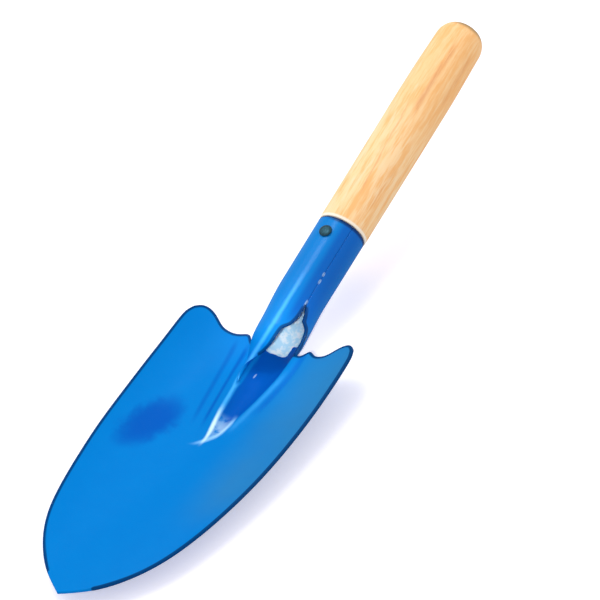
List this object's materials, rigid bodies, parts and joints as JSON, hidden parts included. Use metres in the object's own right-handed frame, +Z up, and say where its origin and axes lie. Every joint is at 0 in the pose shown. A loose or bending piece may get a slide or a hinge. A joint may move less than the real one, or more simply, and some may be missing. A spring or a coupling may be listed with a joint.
{
  "type": "garden hand trowel",
  "caption": "Short garden hand trowel: a dished, pointed blade pressed in one sheet with a rolled socket that a nail holds on a round wooden handle.",
  "frame": {"origin": "middle of the bounding box at its underside, on the surface that the tool lies on", "axes": "+Y from the blade's tip to the handle's butt, +Z up out of the blade's hollow side, +X to the right seen from the tip towards the butt; the handle's axis rises towards +Y at about 13.4 degrees, as the tool lies on the blade's back and the socket's heel"},
  "size_m": [0.096, 0.3386, 0.0654],
  "materials": {
    "blue_paint": "gloss",
    "light_wood": "plain, unvarnished",
    "nail_steel": "dull"
  },
  "bodies": {
    "root": {"blade": "blue_paint", "handle": "light_wood", "nail": "nail_steel"}
  },
  "joints": []
}
